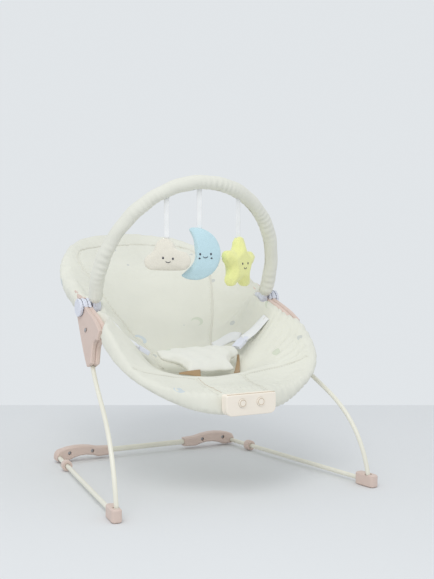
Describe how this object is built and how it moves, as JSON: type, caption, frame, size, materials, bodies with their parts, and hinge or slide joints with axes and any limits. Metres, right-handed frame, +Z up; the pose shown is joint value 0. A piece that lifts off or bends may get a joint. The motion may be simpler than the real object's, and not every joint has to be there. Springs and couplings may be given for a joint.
{
  "type": "baby bouncer seat",
  "caption": "Spring-wire baby bouncer with a padded reclined fabric seat, lap restraint, tilting padded toy bar with hanging plush toys and a vibration unit.",
  "frame": {"origin": "middle of the footprint box, on the floor", "axes": "+Z up, -Y towards the baby's feet (front), +X to the right seen from the front"},
  "size_m": [0.485, 0.5449, 0.5284],
  "materials": {
    "wire": "cream powder-coated spring wire and tube",
    "rose_plastic": "dusty rose moulded plastic, fine texture",
    "steel": "plain steel",
    "cover_fabric": "cream cotton with a sparse pale print, padded",
    "webbing": "white woven webbing and ribbon",
    "white_plastic": "cool white moulded plastic",
    "cream_plastic": "warm cream moulded plastic",
    "circuit": "green circuit board",
    "battery": "plain wrapped battery cell",
    "cloud_plush": "oat short-pile plush",
    "moon_plush": "light blue short-pile plush",
    "star_plush": "soft yellow short-pile plush"
  },
  "bodies": {
    "base": {"foot_cap_left": "rose_plastic", "foot_cap_right": "rose_plastic", "floor_rail_left": "wire", "floor_rail_right": "wire", "ring_foot_left": "rose_plastic", "ring_foot_right": "rose_plastic", "elbow_bracket_left": "rose_plastic", "elbow_bracket_right": "rose_plastic", "rear_crossbar": "wire", "bracket_screw_inner_left": "steel", "bracket_screw_inner_right": "steel", "bracket_screw_outer_left": "steel", "bracket_screw_outer_right": "steel"},
    "seat": {"leg_left": "wire", "leg_right": "wire", "hub_outer_left": "rose_plastic", "hub_outer_right": "rose_plastic", "hub_inner_left": "rose_plastic", "hub_inner_right": "rose_plastic", "hub_screw_left": "steel", "hub_screw_right": "steel", "back_loop": "wire", "front_loop": "wire", "cover_headrest": "cover_fabric", "cover_back": "cover_fabric", "cover_seat": "cover_fabric", "cover_front": "cover_fabric", "cover_side_left": "cover_fabric", "cover_side_right": "cover_fabric", "lap_panel": "cover_fabric", "buckle_socket_left": "white_plastic", "buckle_socket_right": "white_plastic", "strap_left": "webbing", "strap_right": "webbing", "unit_front_shell": "cream_plastic", "unit_back_shell": "cream_plastic", "circuit_board": "circuit", "speaker": "steel", "motor": "steel", "battery_1": "battery", "battery_2": "battery", "toy_bar_clip_left": "white_plastic", "toy_bar_clip_right": "white_plastic"},
    "toy_bar": {"toy_bar_socket_left": "white_plastic", "toy_bar_socket_right": "white_plastic", "toy_bar_core": "wire", "toy_bar_sleeve": "cover_fabric"},
    "cloud": {"cloud_toy": "cloud_plush", "cloud_ribbon": "webbing"},
    "moon": {"moon_toy": "moon_plush", "moon_ribbon": "webbing"},
    "star": {"star_toy": "star_plush", "star_ribbon": "webbing"},
    "button_left": {"button_left": "cream_plastic"},
    "button_right": {"button_right": "cream_plastic"},
    "battery_door": {"battery_door": "cream_plastic"},
    "eccentric_weight": {"eccentric_weight": "steel"},
    "tongue_left": {"buckle_tongue_left": "white_plastic"},
    "tongue_right": {"buckle_tongue_right": "white_plastic"}
  },
  "joints": [
    {"name": "bounce", "type": "hinge", "parent": "base", "child": "seat", "pos_m": [0, -0.2604, 0.009], "axis": [1, 0, 0], "range_deg": [-5, 3], "stiffness_Nm_per_rad": 160, "springref_deg": 1.72},
    {"name": "toy_bar_tilt", "type": "hinge", "parent": "seat", "child": "toy_bar", "pos_m": [0, -0.0004, 0.302], "axis": [1, 0, 0], "range_deg": [-24, 26]},
    {"name": "cloud_swing", "type": "hinge", "parent": "toy_bar", "child": "cloud", "pos_m": [-0.06719, -0.08872, 0.48548], "axis": [1, 0, 0], "range_deg": [-25, 25]},
    {"name": "moon_swing", "type": "hinge", "parent": "toy_bar", "child": "moon", "pos_m": [-0.00852, -0.09456, 0.50066], "axis": [1, 0, 0], "range_deg": [-25, 25]},
    {"name": "star_swing", "type": "hinge", "parent": "toy_bar", "child": "star", "pos_m": [0.06961, -0.08826, 0.48429], "axis": [1, 0, 0], "range_deg": [-25, 25]},
    {"name": "button_left_press", "type": "slide", "parent": "seat", "child": "button_left", "axis": [0, 1, 0], "range_m": [0, 0.0012], "stiffness_N_per_m": 600, "springref_m": -0.001},
    {"name": "button_right_press", "type": "slide", "parent": "seat", "child": "button_right", "axis": [0, 1, 0], "range_m": [0, 0.0012], "stiffness_N_per_m": 600, "springref_m": -0.001},
    {"name": "battery_door_open", "type": "hinge", "parent": "seat", "child": "battery_door", "pos_m": [0, -0.2079, 0.1599], "axis": [1, 0, 0], "range_deg": [0, 95]},
    {"name": "weight_spin", "type": "hinge", "parent": "seat", "child": "eccentric_weight", "pos_m": [-0.0065, -0.2404, 0.1677], "axis": [1, 0, 0], "continuous": true},
    {"name": "tongue_left_pull", "type": "slide", "parent": "seat", "child": "tongue_left", "axis": [-0.7922, 0.2641, 0.5501], "range_m": [0, 0.018]},
    {"name": "tongue_right_pull", "type": "slide", "parent": "seat", "child": "tongue_right", "axis": [0.7922, 0.2641, 0.5501], "range_m": [0, 0.018]}
  ]
}
